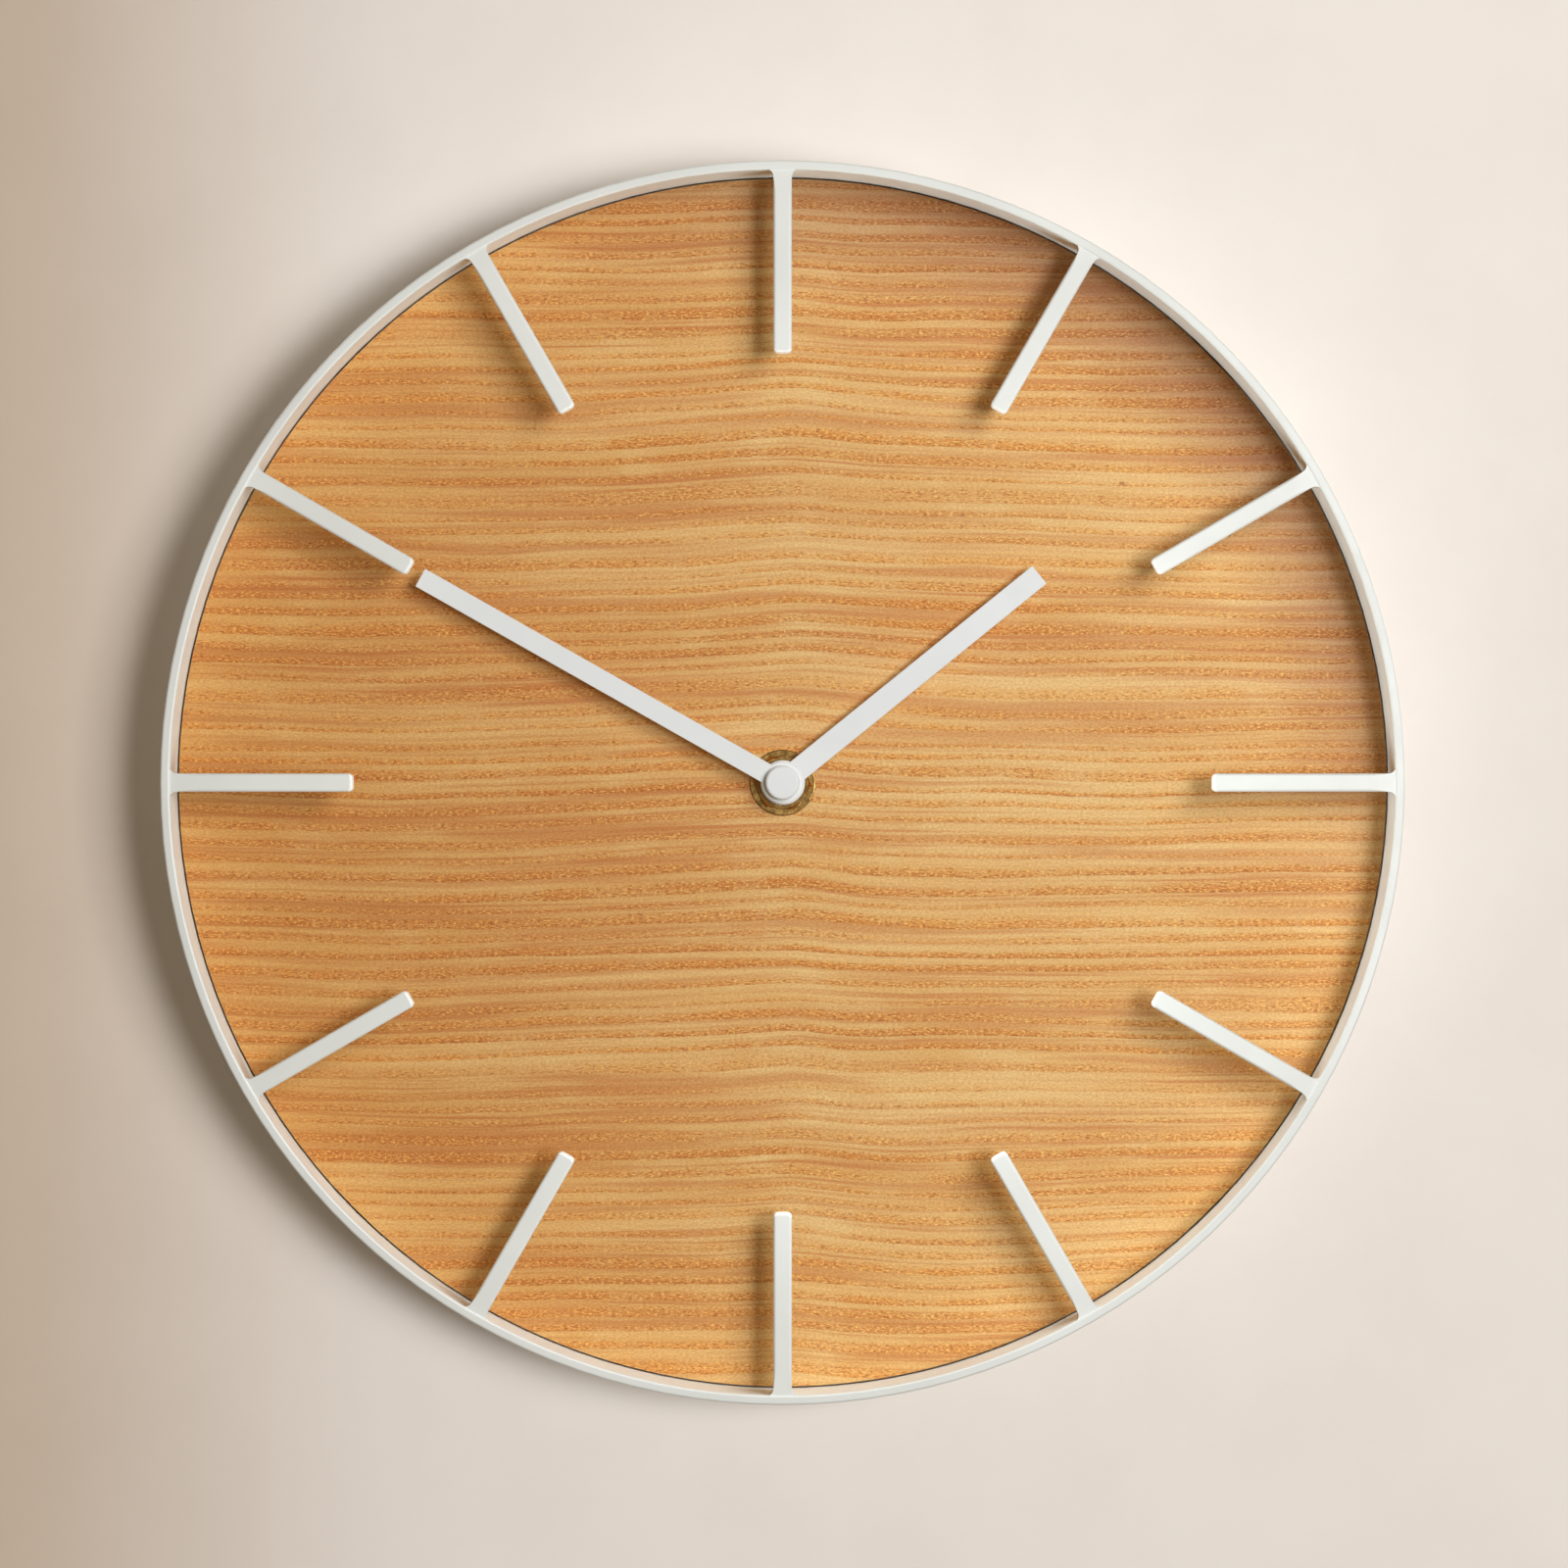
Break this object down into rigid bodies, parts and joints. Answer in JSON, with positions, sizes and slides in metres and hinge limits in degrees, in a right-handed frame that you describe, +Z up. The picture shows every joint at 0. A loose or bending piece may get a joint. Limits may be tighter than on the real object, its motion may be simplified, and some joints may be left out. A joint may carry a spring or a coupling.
{
  "type": "wall clock",
  "caption": "Round wall clock: white steel ring on edge with welded bar hour marks, recessed wood veneer dial, flat white hands and a battery quartz movement that hangs on a hook.",
  "frame": {"origin": "centre of the hanger hole, on the wall plane that the ring's rear edge rests on", "axes": "+Z up, +Y into the wall, so the dial faces -Y; +X to the right seen from the front"},
  "size_m": [0.27, 0.04, 0.27],
  "materials": {
    "ring_paint": "satin white powder coat",
    "hand_paint": "matt white lacquer",
    "ash_veneer": "clear matt lacquer over straight-grained veneer",
    "board_core": "raw fibreboard",
    "backing_veneer": "raw veneer",
    "brass": "turned brass",
    "seal_rubber": "black rubber",
    "case_plastic": "fine spark-eroded texture",
    "plate_plastic": "natural moulded plastic",
    "gear_plastic": "natural acetal",
    "knob_plastic": "black moulded plastic",
    "bobbin_plastic": "natural moulded plastic",
    "board_laminate": "green solder resist",
    "chip_epoxy": "black potting resin",
    "motor_steel": "bare stamped sheet",
    "screw_zinc": "zinc plated",
    "nickel": "nickel plated",
    "magnet_grey": "sintered magnet",
    "copper_wire": "enamelled copper wire",
    "cell_can": "printed metal sleeve"
  },
  "bodies": {
    "frame": {"frame_ring": "ring_paint", "hour_bar_01": "ring_paint", "hour_bar_02": "ring_paint", "hour_bar_03": "ring_paint", "hour_bar_04": "ring_paint", "hour_bar_05": "ring_paint", "hour_bar_06": "ring_paint", "hour_bar_07": "ring_paint", "hour_bar_08": "ring_paint", "hour_bar_09": "ring_paint", "hour_bar_10": "ring_paint", "hour_bar_11": "ring_paint", "hour_bar_12": "ring_paint", "mounting_tabs": "ring_paint", "dial_screws": "screw_zinc", "dial_veneer": "ash_veneer", "dial_core": "board_core", "dial_backing": "backing_veneer", "rubber_washer": "seal_rubber", "brass_washer": "brass", "hex_nut": "brass", "threaded_bush": "brass", "case_front": "case_plastic", "case_rear": "case_plastic", "hanger_loop": "case_plastic", "middle_plate": "plate_plastic", "stator": "motor_steel", "coil_core": "motor_steel", "coil_bobbin": "bobbin_plastic", "coil_winding": "copper_wire", "circuit_board": "board_laminate", "quartz_crystal": "nickel", "clock_chip": "chip_epoxy", "contact_positive": "nickel", "contact_negative": "nickel"},
    "minute_works": {"minute_hand": "hand_paint", "minute_pipe": "brass", "cap_nut": "hand_paint"},
    "hour_works": {"hour_hand": "hand_paint", "hour_wheel": "gear_plastic"},
    "motion_works": {"motion_wheel": "gear_plastic"},
    "setting_works": {"setting_knob": "knob_plastic"},
    "centre_works": {"centre_wheel": "gear_plastic"},
    "third_works": {"third_wheel": "gear_plastic"},
    "seconds_works": {"seconds_wheel": "gear_plastic"},
    "intermediate_works": {"intermediate_wheel": "gear_plastic"},
    "rotor_works": {"rotor": "gear_plastic", "rotor_magnet": "magnet_grey"},
    "cell": {"battery": "cell_can"}
  },
  "joints": [
    {"name": "minute_spin", "type": "hinge", "parent": "frame", "child": "minute_works", "pos_m": [0, -0.012, -0.034], "axis": [0, 1, 0], "continuous": true},
    {"name": "hour_spin", "type": "hinge", "parent": "frame", "child": "hour_works", "pos_m": [0, -0.012, -0.034], "axis": [0, 1, 0], "continuous": true},
    {"name": "motion_spin", "type": "hinge", "parent": "frame", "child": "motion_works", "pos_m": [0.00643, -0.012, -0.0286], "axis": [0, 1, 0], "continuous": true},
    {"name": "setting_spin", "type": "hinge", "parent": "frame", "child": "setting_works", "pos_m": [0.01483, -0.012, -0.0286], "axis": [0, 1, 0], "continuous": true},
    {"name": "rotor_spin", "type": "hinge", "parent": "frame", "child": "rotor_works", "pos_m": [0.00491, -0.012, -0.01811], "axis": [0, 1, 0], "continuous": true},
    {"name": "intermediate_spin", "type": "hinge", "parent": "frame", "child": "intermediate_works", "pos_m": [0.00245, -0.012, -0.02487], "axis": [0, 1, 0], "continuous": true},
    {"name": "seconds_spin", "type": "hinge", "parent": "frame", "child": "seconds_works", "pos_m": [0, -0.012, -0.034], "axis": [0, 1, 0], "continuous": true},
    {"name": "third_spin", "type": "hinge", "parent": "frame", "child": "third_works", "pos_m": [-0.00811, -0.012, -0.02932], "axis": [0, 1, 0], "continuous": true},
    {"name": "centre_spin", "type": "hinge", "parent": "frame", "child": "centre_works", "pos_m": [0, -0.012, -0.034], "axis": [0, 1, 0], "continuous": true},
    {"name": "cell_slide", "type": "slide", "parent": "frame", "child": "cell", "axis": [0, 1, 0], "range_m": [0, 0.03]}
  ],
  "couplings": [
    {"joint": "hour_spin", "follows": "minute_spin", "ratio": 0.083333},
    {"joint": "motion_spin", "follows": "minute_spin", "ratio": -0.33333},
    {"joint": "setting_spin", "follows": "minute_spin", "ratio": 1},
    {"joint": "intermediate_spin", "follows": "rotor_spin", "ratio": -0.2},
    {"joint": "seconds_spin", "follows": "rotor_spin", "ratio": 0.033333},
    {"joint": "third_spin", "follows": "rotor_spin", "ratio": -0.0044444},
    {"joint": "centre_spin", "follows": "rotor_spin", "ratio": 0.00055556}
  ]
}
